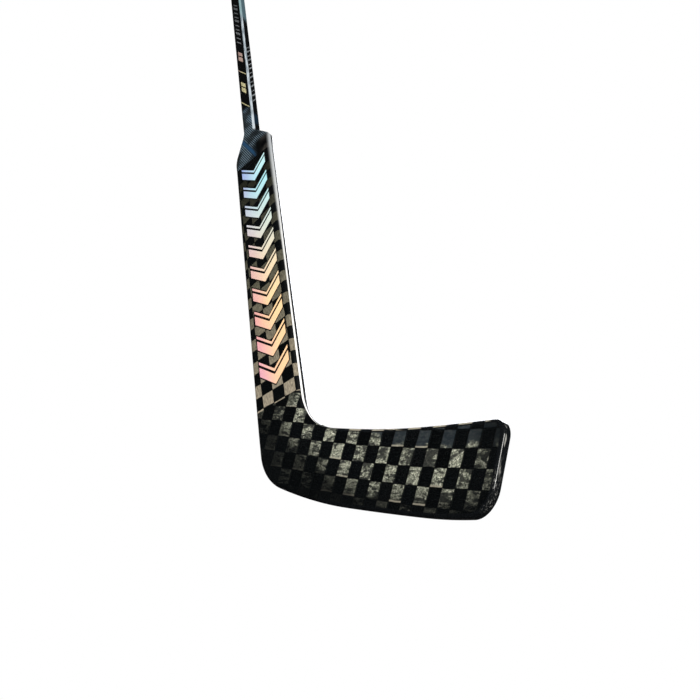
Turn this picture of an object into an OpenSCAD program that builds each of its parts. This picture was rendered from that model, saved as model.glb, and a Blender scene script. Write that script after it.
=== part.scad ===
// Goaltender's ice hockey stick, composite, with a foam-filled paddle and blade.
// The stick stands in its playing position: the sole of the blade lies on z = 0,
// +X runs from heel to toe, +Y is the back of the stick and +Z is up.
// The origin is a point on the flat part of the sole, just past the middle of the blade.

/* [Shaft] */
// Width of the shaft
shaft_w = 27; // [25:0.5:30]
// Thickness of the shaft, front to back
shaft_t = 19.5; // [18.5:0.5:21]
// Bevel on each long corner of the shaft
shaft_bevel = 4; // [3:0.5:5]
// Wall of the hollow shaft tube
shaft_wall = 1.8; // [1.4:0.1:2.2]
// Length of the stick along its axis, from the ice to the butt end
stick_len = 1490; // [1300:10:1560]
// Lean of the shaft from the vertical, towards the heel
lean = 28.1; // [26:0.1:30]

/* [Paddle] */
// Width of the paddle
paddle_w = 78; // [76:1:82]
// Thickness of the paddle
paddle_t = 16.5; // [15.5:0.5:18]
// Rounding of the paddle's long edges
paddle_edge_r = 7; // [5:0.5:7.5]
// Distance along the axis from the ice to the end of the blade
seam = 129; // [125:1:135]
// Distance along the axis from the ice to the neck
neck_base = 606; // [604:1:620]
// Distance along the axis from the ice to the corner of the shoulder
shoulder = 648; // [640:1:656]
// Distance along the axis from the ice to the lower end of the shaft tube
neck_top = 694; // [688:1:710]
// Wall of the paddle's shells
paddle_wall = 1.6; // [1.2:0.1:2]

/* [Blade] */
// Distance from the shaft axis to the toe, along the blade
toe_reach = 308; // [295:0.5:325]
// Height of the blade at mid length
blade_h = 87; // [82:0.5:88.5]
// Thickness of the blade
blade_t = 9.5; // [8:0.5:11]
// Radius of the blade's curve, seen from above
curve_r = 727; // [650:1:1200]
// Where the curve starts, along the blade from the shaft axis
curve_start = -17; // [-30:1:0]
// Angle by which the face opens at the toe
open_angle = 6; // [0:0.5:8]
// Skin of the blade
skin = 1.2; // [0.8:0.1:1.6]
// Depth of the rail round the blade's edge
rail = 5; // [4:0.5:6]

/* [Graphics] */
// Thickness of a foil transfer
foil = 0.12; // [0.08:0.01:0.2]
// Distance along the axis between two chevrons on the paddle
chevron_pitch = 44; // [38:1:44]

/* [Hidden] */
$fn = 48;

carbon = "#14181c";
foam = "#d8cfa8";
half_w = paddle_w / 2;
face_y = -paddle_t / 2;

// Ends and joints of the shaft and paddle
cap_h = 6;
plug_depth = 32;
spigot_w = shaft_w - 2 * shaft_wall;
spigot_depth = 70;
flare_r = 50;
flare_angle = 31;
flare_top = neck_top - 3;
flare_low = neck_base + 12;
shoulder_slope = 29;
spar_t = 4;

// Chevrons on the paddle: each is a thick band with a thin one above it
chevron_count = 10;
chevron_low = 180;
chevron_middle = 2;
chevron_w = 52;
chevron_thick = 15;
chevron_thin = 4.5;
chevron_drop = 24;
chevron_gap = 4.5;
chevron_border = 1.7;

// Marks down the front of the shaft: ticks, then two pairs of blocks, each above a slash
mark_w = 10;
mark_slope = -1.75;
tick_low = 962;
tick_pitch = 16;
tick_count = 10;
block_low = [794, 896];
slash_w = shaft_w - 2 * shaft_bevel - 1;
stroke_low = 768;
stroke_pitch = 14.5;
stroke_count = 13;

// Outline of the blade, in (distance along the blade, height)
sole_start = 90;
sole_end = 210;
rocker_r = 640;
rocker_angle = 9.9;
toe_rocker_angle = 4;
toe_low_r = 26;
toe_high_r = 19;
toe_tilt = 3;
top_rise = 4.4;
heel_top_r = 74;

// The blade's plan curve: straight up to curve_start, then an arc towards the front
function bend(s) = max(s - curve_start, 0) / curve_r * 180 / PI;
function plan(s) = [min(s, curve_start) + curve_r * sin(bend(s)), curve_r * (cos(bend(s)) - 1)];
open_rate = tan(open_angle) / (toe_reach - curve_start);
sole_mid = plan(toe_reach * 4 / 7);

// A point at p = (distance along the blade, height), w behind the middle of its thickness
function blade_pt(p, w) = let(a = bend(p[0]), c = plan(p[0]))
    [c[0] + w * sin(a) - sole_mid[0],
     c[1] + w * cos(a) + open_rate * p[1] * max(p[0] - curve_start, 0) - sole_mid[1],
     p[1]];

// From (along the axis, across it) to (distance along the blade, height), and back
function from_axis(a, c) = [c * cos(lean) - a * sin(lean), a * cos(lean) + c * sin(lean)];
function along(p) = p[1] * cos(lean) - p[0] * sin(lean);
function across(p) = p[0] * cos(lean) + p[1] * sin(lean);

function ease(x) = let(t = min(max(x, 0), 1)) t * t * (3 - 2 * t);
function half_t(p) = (blade_t + (paddle_t - blade_t) * ease((along(p) - 25) / (seam - 25))) / 2;
function turned(g) = [cos(g), sin(g)];
function arc(c, r, a0, a1, n) = [for (i = [0:n]) c + r * turned(a0 + (a1 - a0) * i / n)];
function line(p, q, n) = [for (i = [0:n]) p + (q - p) * i / n];

// Heel: the paddle's edge runs into an arc, then into the long rocker and the flat sole
rocker_c = [sole_start, rocker_r];
rocker_end = rocker_c + rocker_r * [-sin(rocker_angle), -cos(rocker_angle)];
heel_r = (half_w + across(rocker_end)) / (1 - sin(rocker_angle + lean));
heel_c = rocker_end + heel_r * [sin(rocker_angle), cos(rocker_angle)];
heel_edge = line(from_axis(seam, -half_w), heel_c + heel_r * [-cos(lean), -sin(lean)], 4);
heel_arc = arc(heel_c, heel_r, 180 + lean, 270 - rocker_angle, 14);
rocker = arc(rocker_c, rocker_r, 270 - rocker_angle, 270, 6);

// Toe: the sole rises a little, then two arcs are joined by an edge that leans back
toe_rocker_r = toe_low_r + (toe_reach - toe_low_r - sole_end) / sin(toe_rocker_angle);
toe_rocker = arc([sole_end, toe_rocker_r], toe_rocker_r, 270, 270 + toe_rocker_angle, 6);
toe_low_c = [toe_reach - toe_low_r, toe_rocker_r + (toe_low_r - toe_rocker_r) * cos(toe_rocker_angle)];
toe_high_z = blade_h + top_rise - toe_high_r;
toe_lean = (toe_high_z - toe_low_c[1]) * tan(toe_tilt);
toe_high_c = [toe_low_c[0] + (toe_low_r - toe_high_r) / cos(toe_tilt) - toe_lean, toe_high_z];
toe_low = arc(toe_low_c, toe_low_r, 270 + toe_rocker_angle, 360 + toe_tilt, 10);
toe_high = arc(toe_high_c, toe_high_r, toe_tilt, 90, 10);

// Top: a shallow dip, then the arc up into the paddle's inner edge
top_start = toe_high_c + [0, toe_high_r];
inner_edge = from_axis(seam, half_w);
heel_top_c = [(half_w + heel_top_r - (blade_h + heel_top_r) * sin(lean)) / cos(lean), blade_h + heel_top_r];
top_run = heel_top_c[0] - top_start[0];
top_edge = [for (i = [0:20]) [top_start[0] + top_run * i / 20, blade_h + top_rise * ease(1 - i / 16)]];
heel_top = arc(heel_top_c, heel_top_r, 270, 180 + lean, 14);
inner_line = line(heel_top_c + heel_top_r * [-cos(lean), -sin(lean)], inner_edge, 6);

// Rows of points up the blade: the spine lies between the two middle ones
spine_row = spar_t / 2 / (paddle_w - 2 * rail);
rows = [0, 0.25, 0.5 - spine_row, 0.5 + spine_row, 0.75, 1];

function tail(v) = [for (i = [1:len(v) - 1]) v[i]];
function mix(p, q, t) = p + (q - p) * t;
flat_sole = line([sole_start, 0], [sole_end, 0], 10);
lower = concat(heel_edge, tail(heel_arc), tail(rocker), tail(flat_sole), tail(toe_rocker), tail(toe_low));
toe = [for (t = rows) mix(toe_low[10], toe_high[0], t)];
upper = concat(toe_high, tail(top_edge), tail(heel_top), tail(inner_line));
edge = concat(lower, tail(toe), tail(upper));
toe_i = len(lower) - 1;
top_i = toe_i + len(toe) - 1;
last_i = len(edge) - 1;

// Inward normal of the outline at point i, and the outline moved inwards by d
function inward(i) = let(d = edge[min(i + 1, last_i)] - edge[max(i - 1, 0)]) [-d[1], d[0]] / norm(d);
function inset(i, d) = edge[i] + d * inward(i);

// Column i of the grid that fills the outline, from its lower edge to its upper edge
function column(i, t) = mix(inset(i, rail), inset(last_i - i, rail), t);

// Triangles of a closed solid between two grids of points, front and back
function quad(a, b, c, d) = [[a, b, c], [a, c, d]];
module slab(front, back) {
    n = len(front);
    m = len(front[0]);
    k = n * m;
    points = concat([for (c = front) for (p = c) p], [for (c = back) for (p = c) p]);
    skins = [for (i = [0:n - 2]) for (j = [0:m - 2]) let(a = i * m + j)
        each concat(quad(a, a + 1, a + m + 1, a + m), quad(k + a, k + a + m, k + a + m + 1, k + a + 1))];
    sides = [for (i = [0:n - 2]) let(a = i * m, b = a + m - 1)
        each concat(quad(a, a + m, k + a + m, k + a), quad(b, k + b, k + b + m, b + m))];
    ends = [for (j = [0:m - 2]) let(a = j, b = (n - 1) * m + j)
        each concat(quad(a, k + a, k + a + 1, a + 1), quad(b, b + 1, k + b + 1, k + b))];
    polyhedron(points, concat(skins, sides, ends));
}

// A block of the blade from row r0 to row r1. Each level is [share of half the thickness, offset].
function sheet(r0, r1, level) = [for (i = [0:toe_i]) [for (r = [r0:r1])
    let(p = column(i, rows[r])) blade_pt(p, level[0] * half_t(p) + level[1])]];
module blade_block(r0, r1, front, back) slab(sheet(r0, r1, front), sheet(r0, r1, back));

// Cross-section of the rail: [share of its depth, share of the half thickness]
rail_profile = [[0, -0.55], [0.2, -0.82], [0.55, -0.96], [1, -1],
                [1, 1], [0.55, 0.96], [0.2, 0.82], [0, 0.55]];
module blade_rail(i0, i1)
    loft([for (i = [i0:i1]) [for (q = rail_profile)
        blade_pt(inset(i, rail * q[0]), q[1] * half_t(inset(i, rail)))]]);

// A closed solid through rings of points, which run anticlockwise as seen from the last ring
module loft(rings) {
    n = len(rings);
    m = len(rings[0]);
    walls = [for (i = [0:n - 2]) for (j = [0:m - 1]) let(a = i * m + j, b = i * m + (j + 1) % m)
        each quad(a, a + m, b + m, b)];
    ends = [for (j = [1:m - 2]) each [[0, j, j + 1], [(n - 1) * m, (n - 1) * m + j + 1, (n - 1) * m + j]]];
    polyhedron([for (r = rings) for (p = r) p], concat(walls, ends));
}

// Frame of the shaft and paddle: x across, towards the toe, y backwards, z along the axis
module on_axis() translate([-sole_mid[0], -sole_mid[1], 0]) rotate([0, -lean, 0]) children();

module bar(z0, z1) translate([0, 0, z0]) linear_extrude(z1 - z0) children();
module bevelled(w, t, b) polygon([
    [b - w / 2, -t / 2], [w / 2 - b, -t / 2], [w / 2, b - t / 2], [w / 2, t / 2 - b],
    [w / 2 - b, t / 2], [b - w / 2, t / 2], [-w / 2, t / 2 - b], [-w / 2, b - t / 2]]);
module rounded(w, t, r) {
    square([w - 2 * r, t], center = true);
    square([w, t - 2 * r], center = true);
    for (x = [r - w / 2, w / 2 - r]) for (y = [r - t / 2, t / 2 - r]) translate([x, y]) circle(r);
}
module shaft_bore() bevelled(spigot_w, shaft_t - 2 * shaft_wall, shaft_bevel - shaft_wall / 2);
// An outline drawn in (across, along) and made t thick, its front face at y = y0
module plate(y0, t) translate([0, y0 + t, 0]) rotate([90, 0, 0]) linear_extrude(t) children();

module shaft_tube() color(carbon) on_axis() bar(neck_top, stick_len - cap_h) difference() {
    bevelled(shaft_w, shaft_t, shaft_bevel);
    shaft_bore();
}

module butt_end_plug() color("#202327") on_axis() {
    bar(stick_len - cap_h, stick_len) bevelled(shaft_w, shaft_t, shaft_bevel);
    bar(stick_len - cap_h - plug_depth, stick_len - cap_h) shaft_bore();
}

// Solid bar that joins the shaft to the paddle through the neck
spigot_bottom = neck_base - spigot_depth;
module spigot_foot() square([spigot_w, paddle_t - 2 * paddle_wall], center = true);
module shaft_spigot() color("#3a3d40") on_axis() {
    bar(spigot_bottom, neck_top) spigot_foot();
    bar(neck_top, neck_top + spigot_depth) shaft_bore();
}

// Neck: an S-shaped flare on the heel side, a corner and a slope on the toe side
flare_heel = [for (i = [0:8]) let(g = flare_angle * i / 8)
    [flare_low + flare_r * sin(g), half_w - flare_r * (1 - cos(g))]];
flare_neck = [for (i = [0:8]) let(g = flare_angle * (1 - i / 8))
    [flare_top - flare_r * sin(g), shaft_w / 2 + flare_r * (1 - cos(g))]];
heel_side = concat([[neck_base, half_w]], flare_heel, flare_neck, [[neck_top, shaft_w / 2]]);
toe_side = [[neck_base, half_w], [shoulder - 2, half_w], [shoulder, half_w - 1],
            [shoulder + shoulder_slope, shaft_w / 2], [neck_top, shaft_w / 2]];
function neck_ring(a) = let(
        k = (a - neck_base) / (neck_top - neck_base),
        w0 = -lookup(a, heel_side),
        w1 = lookup(a, toe_side),
        t = paddle_t + (shaft_t - paddle_t) * ease(k),
        r = paddle_edge_r + (shaft_bevel - paddle_edge_r) * k)
    [for (q = [[w1 - r, t / 2 - r, 0], [w0 + r, t / 2 - r, 90],
               [w0 + r, r - t / 2, 180], [w1 - r, r - t / 2, 270]])
        for (g = [0:22.5:90]) [each [q[0], q[1]] + r * turned(q[2] + g), a]];
neck_stations = concat([neck_base], [for (i = [0:8]) flare_heel[i][0]],
    [for (i = [1:7]) flare_heel[8][0] + (flare_neck[0][0] - flare_heel[8][0]) * i / 8],
    [for (i = [0:8]) flare_neck[i][0]], [neck_top]);
module neck_block() color(carbon) on_axis() difference() {
    loft([for (a = neck_stations) neck_ring(a)]);
    bar(neck_base - 1, neck_top + 1) spigot_foot();
}

// Paddle: two flat shells between two solid rails, foam and a spar inside
rail_in = half_w - paddle_edge_r - 1;
core_t = paddle_t - 2 * paddle_wall;
module paddle_shell() square([2 * rail_in, paddle_wall], center = true);
module paddle_front_shell() color("#5b5b4b") on_axis() bar(seam, neck_base)
    translate([0, face_y + paddle_wall / 2]) paddle_shell();
module paddle_back_shell() color("#5b5b4b") on_axis() bar(seam, neck_base)
    translate([0, -face_y - paddle_wall / 2]) paddle_shell();
module paddle_rail() intersection() {
    rounded(paddle_w, paddle_t, paddle_edge_r);
    translate([rail_in, -paddle_t]) square([paddle_w, 2 * paddle_t]);
}
module paddle_toe_side_rail() color("#bdbdbb") on_axis() bar(seam, neck_base) paddle_rail();
module paddle_heel_side_rail() color(carbon) on_axis() bar(seam, neck_base) mirror([1, 0]) paddle_rail();
module paddle_spar() color("#3a3d40") on_axis()
    bar(seam, spigot_bottom) square([spar_t, core_t], center = true);
module paddle_core() difference() {
    bar(seam, neck_base) translate([spar_t / 2, -core_t / 2]) square([rail_in - spar_t / 2, core_t]);
    bar(spigot_bottom, neck_base + 1) spigot_foot();
}
module paddle_core_toe_side() color(foam) on_axis() paddle_core();
module paddle_core_heel_side() color(foam) on_axis() mirror([1, 0, 0]) paddle_core();

// Blade: two skins over foam, split by the spine that carries on from the spar
module blade_front_skin() color("#9c9a83") blade_block(0, 5, [-1, 0], [-1, skin]);
module blade_back_skin() color("#9c9a83") blade_block(0, 5, [1, -skin], [1, 0]);
module blade_sole_rail() color(carbon) blade_rail(0, toe_i);
module blade_toe_rail() color(carbon) blade_rail(toe_i, top_i);
module blade_top_rail() color(carbon) blade_rail(top_i, last_i);
module blade_spine() color("#3a3d40") blade_block(2, 3, [-1, skin], [1, -skin]);
module blade_core_lower() color(foam) blade_block(0, 2, [-1, skin], [1, -skin]);
module blade_core_upper() color(foam) blade_block(3, 5, [-1, skin], [1, -skin]);

// Graphics: foil transfers on the paddle and printed marks on the shaft.
// A chevron's point is on the middle line and its ends are at height a; grow widens it all round.
module chevron(a, thick, grow) {
    w = chevron_w / 2 + grow;
    rise = grow * norm([chevron_w / 2, chevron_drop]) / (chevron_w / 2);
    tip = a - chevron_drop - rise;
    side = tip + chevron_drop * w / (chevron_w / 2);
    t = thick + 2 * rise;
    polygon([[-w, side], [0, tip], [w, side], [w, side + t], [0, tip + t], [-w, side + t]]);
}
module chevrons(grow) translate([chevron_middle, 0]) for (i = [0:chevron_count - 1]) {
    chevron(chevron_low + i * chevron_pitch, chevron_thick, grow);
    chevron(chevron_low + i * chevron_pitch + chevron_thick + chevron_gap, chevron_thin, grow);
}
module paddle_chevron_border() color("black") on_axis() plate(face_y - foil, foil) chevrons(chevron_border);
module paddle_chevrons() color("#d5e8e8") on_axis() plate(face_y - 2 * foil, foil) chevrons(0);

// A slanted band centred on the shaft, w wide and thick along the axis
module slash(z, w, thick) translate([0, z]) polygon([
    [-w / 2, -mark_slope * w / 2], [w / 2, mark_slope * w / 2],
    [w / 2, mark_slope * w / 2 + thick], [-w / 2, -mark_slope * w / 2 + thick]]);
module shaft_front_marks() color("#c9b98a") on_axis() plate(-shaft_t / 2 - foil, foil) {
    for (i = [0:tick_count - 1]) slash(tick_low + i * tick_pitch, mark_w, i % 3 == 2 ? 8 : 4);
    for (z = block_low) {
        slash(z - 36, slash_w, 3);
        slash(z + 3, mark_w, 14);
        slash(z + 21, mark_w, 12);
    }
}
module shaft_side_strokes() color("#c5cdd3") on_axis() translate([shaft_w / 2, 0, 0]) rotate([90, 0, 90])
    linear_extrude(foil) for (i = [0:stroke_count - 1]) mirror([1, 0])
        slash(stroke_low + i * stroke_pitch, shaft_t - 2 * shaft_bevel - 1.5, 2.5 + 2 * (i % 2));

shaft_tube();
butt_end_plug();
shaft_spigot();
neck_block();
paddle_front_shell();
paddle_back_shell();
paddle_toe_side_rail();
paddle_heel_side_rail();
paddle_spar();
paddle_core_toe_side();
paddle_core_heel_side();
blade_front_skin();
blade_back_skin();
blade_sole_rail();
blade_toe_rail();
blade_top_rail();
blade_spine();
blade_core_lower();
blade_core_upper();
paddle_chevrons();
paddle_chevron_border();
shaft_front_marks();
shaft_side_strokes();
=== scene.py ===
import math
import bmesh
import bpy
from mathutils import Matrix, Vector


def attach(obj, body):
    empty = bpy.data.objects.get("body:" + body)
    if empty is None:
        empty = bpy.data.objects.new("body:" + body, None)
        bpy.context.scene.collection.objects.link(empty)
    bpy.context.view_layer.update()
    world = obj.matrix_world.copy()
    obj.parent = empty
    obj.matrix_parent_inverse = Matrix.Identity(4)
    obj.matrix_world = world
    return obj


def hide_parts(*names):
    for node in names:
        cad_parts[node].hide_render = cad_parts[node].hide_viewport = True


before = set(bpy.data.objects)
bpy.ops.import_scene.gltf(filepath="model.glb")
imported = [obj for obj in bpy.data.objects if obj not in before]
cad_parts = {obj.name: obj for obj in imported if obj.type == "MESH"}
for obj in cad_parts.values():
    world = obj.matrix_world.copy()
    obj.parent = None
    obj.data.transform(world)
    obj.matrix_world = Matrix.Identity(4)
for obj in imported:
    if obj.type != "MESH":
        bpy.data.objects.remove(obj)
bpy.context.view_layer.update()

mm = 0.001

# The stick in millimetres, with the same sizes as its design. "along" runs up the shaft's
# axis from the ice and "across" runs from it towards the toe.
stick = {
    "lean": math.radians(28.1), "soleMid": 176.0,
    "shaftWidth": 27.0, "shaftThick": 19.5, "shaftBevel": 4.0, "shaftWall": 1.8,
    "shaftFillet": 0.7, "shaftRings": 60, "length": 1490.0,
    "paddleWidth": 78.0, "paddleThick": 16.5, "paddleEdge": 7.0, "paddleWall": 1.6,
    # The blade thickens into the paddle between these two
    "blendFrom": 25.0, "seam": 129.0,
    # How far the rails reach past their rounding, and how finely paddle and rails are cut
    "railLip": 1.0, "roundSteps": 12, "panels": 48, "columns": 12,
    "neckBase": 606.0, "neckTop": 694.0, "shoulder": 648.0, "shoulderSlope": 29.0,
    "flareRadius": 50.0, "flareAngle": math.radians(31.0), "flareLow": 618.0, "flareTop": 691.0,
}
sinLean, cosLean = math.sin(stick["lean"]), math.cos(stick["lean"])
halfPaddle = stick["paddleWidth"] / 2

blade = {
    "toeReach": 308.0, "height": 87.0, "thick": 9.5, "skin": 1.2,
    "curveRadius": 727.0, "curveStart": -17.0, "openAngle": math.radians(6.0),
    "soleStart": 90.0, "soleEnd": 210.0, "rockerRadius": 640.0, "rockerAngle": math.radians(9.9),
    "toeRocker": math.radians(4.0), "toeLow": 26.0, "toeHigh": 19.0, "toeTilt": math.radians(3.0),
    "topRise": 4.4, "heelTopRadius": 74.0,
    # Depth of the rail round the edge and the rounding in it, on the blade and at the paddle
    "railDepth": (5.0, 8.0), "roundDepth": (4.6, 7.0), "roundShare": (0.5, 7.0 / 8.25),
    "detail": 2, "rows": 26,
}


def ease(x):
    x = min(max(x, 0.0), 1.0)
    return x * x * (3 - 2 * x)


def mix(a, b, t):
    return a + (b - a) * t


def planPoint(s):
    bend = max(s - blade["curveStart"], 0) / blade["curveRadius"]
    return (min(s, blade["curveStart"]) + blade["curveRadius"] * math.sin(bend),
            blade["curveRadius"] * (math.cos(bend) - 1), bend)


soleX, soleY = planPoint(stick["soleMid"])[:2]
openRate = math.tan(blade["openAngle"]) / (blade["toeReach"] - blade["curveStart"])


# A point at p = (distance along the blade, height), w behind the middle of its thickness
def bladePoint(p, w):
    x, y, bend = planPoint(p[0])
    tilt = openRate * p[1] * max(p[0] - blade["curveStart"], 0)
    return Vector((x + w * math.sin(bend) - soleX, y + w * math.cos(bend) + tilt - soleY, p[1])) * mm


def axisPoint(across, back, along):
    return Vector((across * cosLean - along * sinLean - soleX, back - soleY,
                   along * cosLean + across * sinLean)) * mm


def fromAxis(along, across):
    return Vector((across * cosLean - along * sinLean, along * cosLean + across * sinLean))


def seamShare(p):
    along = p[1] * cosLean - p[0] * sinLean
    return ease((along - stick["blendFrom"]) / (stick["seam"] - stick["blendFrom"]))


def halfThick(p):
    return mix(blade["thick"], stick["paddleThick"], seamShare(p)) / 2


def arcPoints(centre, radius, start, end, count):
    turns = [start + (end - start) * i / count for i in range(count + 1)]
    return [centre + radius * Vector((math.cos(t), math.sin(t))) for t in turns]


def linePoints(a, b, count):
    return [a + (b - a) * (i / count) for i in range(count + 1)]


# Lower edge from the paddle round the heel to the toe, the toe's own edge, and the upper
# edge back to the paddle, each as (distance along the blade, height)
def bladeOutline():
    lean, k, turn = stick["lean"], blade["detail"], math.pi / 2
    rocker, radius = blade["rockerAngle"], blade["rockerRadius"]
    rockerCentre = Vector((blade["soleStart"], radius))
    rockerEnd = rockerCentre + radius * Vector((-math.sin(rocker), -math.cos(rocker)))
    reach = rockerEnd[0] * cosLean + rockerEnd[1] * sinLean
    heelRadius = (halfPaddle + reach) / (1 - math.sin(rocker + lean))
    heelCentre = rockerEnd + heelRadius * Vector((math.sin(rocker), math.cos(rocker)))
    toeTilt, low, high = blade["toeTilt"], blade["toeLow"], blade["toeHigh"]
    soleRise, soleEnd = blade["toeRocker"], blade["soleEnd"]
    riseRadius = low + (blade["toeReach"] - low - soleEnd) / math.sin(soleRise)
    lowCentre = Vector((blade["toeReach"] - low,
                        riseRadius + (low - riseRadius) * math.cos(soleRise)))
    highZ = blade["height"] + blade["topRise"] - high
    highCentre = Vector((lowCentre[0] + (low - high) / math.cos(toeTilt)
                         - (highZ - lowCentre[1]) * math.tan(toeTilt), highZ))
    lower = linePoints(fromAxis(stick["seam"], -halfPaddle),
                       heelCentre + heelRadius * Vector((-cosLean, -sinLean)), 4 * k)
    lower += arcPoints(heelCentre, heelRadius, 2 * turn + lean, 3 * turn - rocker, 14 * k)[1:]
    lower += arcPoints(rockerCentre, radius, 3 * turn - rocker, 3 * turn, 6 * k)[1:]
    lower += linePoints(Vector((blade["soleStart"], 0)), Vector((soleEnd, 0)), 10 * k)[1:]
    lower += arcPoints(Vector((soleEnd, riseRadius)), riseRadius, 3 * turn, 3 * turn + soleRise,
                       6 * k)[1:]
    lower += arcPoints(lowCentre, low, 3 * turn + soleRise, 4 * turn + toeTilt, 10 * k)[1:]
    upper = arcPoints(highCentre, high, toeTilt, turn, 10 * k)
    inner = blade["heelTopRadius"]
    heelTop = Vector(((halfPaddle + inner - (blade["height"] + inner) * sinLean) / cosLean,
                      blade["height"] + inner))
    start = upper[-1][0]
    for i in range(1, 20 * k + 1):
        rise = blade["topRise"] * ease(1 - i / (16 * k))
        upper.append(Vector((start + (heelTop[0] - start) * i / (20 * k), blade["height"] + rise)))
    upper += arcPoints(heelTop, inner, 3 * turn, 2 * turn + lean, 14 * k)[1:]
    upper += linePoints(upper[-1], fromAxis(stick["seam"], halfPaddle), 6 * k)[1:]
    toe = linePoints(lower[-1], upper[0], 5 * k)
    return lower, toe, upper


lower, toe, upper = bladeOutline()
edge = lower + toe[1:-1] + upper
toeStart = len(lower) - 1
toeEnd = toeStart + len(toe) - 1
edgeEnd = toeEnd + len(upper) - 1


def inset(i, depth):
    step = edge[min(i + 1, edgeEnd)] - edge[max(i - 1, 0)]
    return edge[i] + depth * Vector((-step[1], step[0])).normalized()


def railDepth(i):
    return mix(*blade["railDepth"], seamShare(edge[i]))


# Makes a piece from its points and faces. lays holds (distance along the blade, height,
# distance behind its middle) in millimetres, and rims (distance in from the edge, side from
# -1 in front to 1 behind, 0).
def makePiece(name, points, faces, lays=None, rims=None, sharp=35):
    mesh = bpy.data.meshes.new(name)
    mesh.from_pydata([tuple(p) for p in points], [], faces)
    for label, values in (("lay", lays), ("rim", rims)):
        if values:
            layer = mesh.attributes.new(label, "FLOAT_VECTOR", "POINT")
            layer.data.foreach_set("vector", [number for value in values for number in value])
    work = bmesh.new()
    work.from_mesh(mesh)
    bmesh.ops.recalc_face_normals(work, faces=work.faces)
    work.to_mesh(mesh)
    work.free()
    mesh.shade_smooth()
    mesh.set_sharp_from_angle(angle=math.radians(sharp))
    piece = bpy.data.objects.new(name, mesh)
    bpy.context.scene.collection.objects.link(piece)
    return piece


# Skin between rings of points that all have the same count. The ends are capped, or the
# last ring joins the first.
def loftFaces(rings, joined=False):
    count, size = len(rings), len(rings[0])
    faces = []
    for i in range(count if joined else count - 1):
        a, b = i * size, (i + 1) % count * size
        faces += [(a + j, a + (j + 1) % size, b + (j + 1) % size, b + j) for j in range(size)]
    if not joined:
        faces += [tuple(range(size)), tuple((count - 1) * size + j for j in range(size))]
    return faces


def addLoft(name, rings, joined=False, sharp=35):
    return makePiece(name, [p for ring in rings for p in ring], loftFaces(rings, joined), sharp=sharp)


# Puts a piece in its node's stead: it joins the root body and the node is hidden
def fitPiece(piece, node):
    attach(piece, "root")
    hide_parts(node)
    return piece


# One face of the blade, as a curved plate of even thickness
def addSkin(name, side):
    points, lays, rims, faces = [], [], [], []
    size = blade["rows"] + 1
    for depth in (0, blade["skin"]):
        for i in range(toeStart + 1):
            top = edgeEnd - i
            a, b = inset(i, railDepth(i)), inset(top, railDepth(top))
            for j in range(size):
                p = a.lerp(b, j / blade["rows"])
                w = side * (halfThick(p) - depth)
                points.append(bladePoint(p, w))
                lays.append((p[0], p[1], w))
                near = min(j, blade["rows"] - j) / blade["rows"] * (b - a).length
                rims.append((railDepth(i) + near, side, 0))
    under = (toeStart + 1) * size
    for i in range(toeStart):
        for j in range(size - 1):
            a = i * size + j
            for base in (0, under):
                faces.append((base + a, base + a + 1, base + a + size + 1, base + a + size))
    for i in range(toeStart):
        for a, b in ((i * size, (i + 1) * size), (i * size + size - 1, (i + 2) * size - 1)):
            faces.append((a, b, under + b, under + a))
    for j in range(size - 1):
        for a in (j, toeStart * size + j):
            faces.append((a, a + 1, under + a + 1, under + a))
    return makePiece(name, points, faces, lays, rims)


# The rounded rail round the blade's edge, from outline point first to outline point last
def addBladeRail(name, first, last):
    rings, lays, rims = [], [], []
    arcSteps = 9
    for i in range(first, last + 1):
        share = seamShare(edge[i])
        depth, roundDepth = mix(*blade["railDepth"], share), mix(*blade["roundDepth"], share)
        half = halfThick(inset(i, depth))
        roundHalf = half * mix(*blade["roundShare"], share)
        section = [(depth, -half)]
        for j in range(arcSteps + 1):
            turn = math.pi / 2 * (1 - j / arcSteps)
            section.append((roundDepth * (1 - math.cos(turn)),
                            roundHalf * (1 - math.sin(turn)) - half))
        section += [(0.0, 0.0)] + [(d, -w) for d, w in reversed(section)]
        rings.append([bladePoint(inset(i, d), w) for d, w in section])
        lays += [(*inset(i, d), w) for d, w in section]
        rims += [(d, w / half, 0) for d, w in section]
    return makePiece(name, [p for ring in rings for p in ring], loftFaces(rings), lays, rims)


bladeFront = fitPiece(addSkin("bladeFrontSkin", -1), "blade_front_skin")
bladeBack = fitPiece(addSkin("bladeBackSkin", 1), "blade_back_skin")
soleRail = fitPiece(addBladeRail("bladeSoleRail", 0, toeStart), "blade_sole_rail")
toeRail = fitPiece(addBladeRail("bladeToeRail", toeStart, toeEnd), "blade_toe_rail")
topRail = fitPiece(addBladeRail("bladeTopRail", toeEnd, edgeEnd), "blade_top_rail")
print("blade made")


# A flat shell of the paddle, cut into short panels so that it shades evenly
def addShell(name, side):
    reach = halfPaddle - stick["paddleEdge"] - stick["railLip"]
    outer, inner = stick["paddleThick"] / 2, stick["paddleThick"] / 2 - stick["paddleWall"]
    rings = []
    for i in range(stick["panels"] + 1):
        along = mix(stick["seam"], stick["neckBase"], i / stick["panels"])
        across = [mix(-reach, reach, j / stick["columns"]) for j in range(stick["columns"] + 1)]
        ring = [axisPoint(c, side * outer, along) for c in across]
        rings.append(ring + [axisPoint(c, side * inner, along) for c in reversed(across)])
    return addLoft(name, rings)


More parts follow.
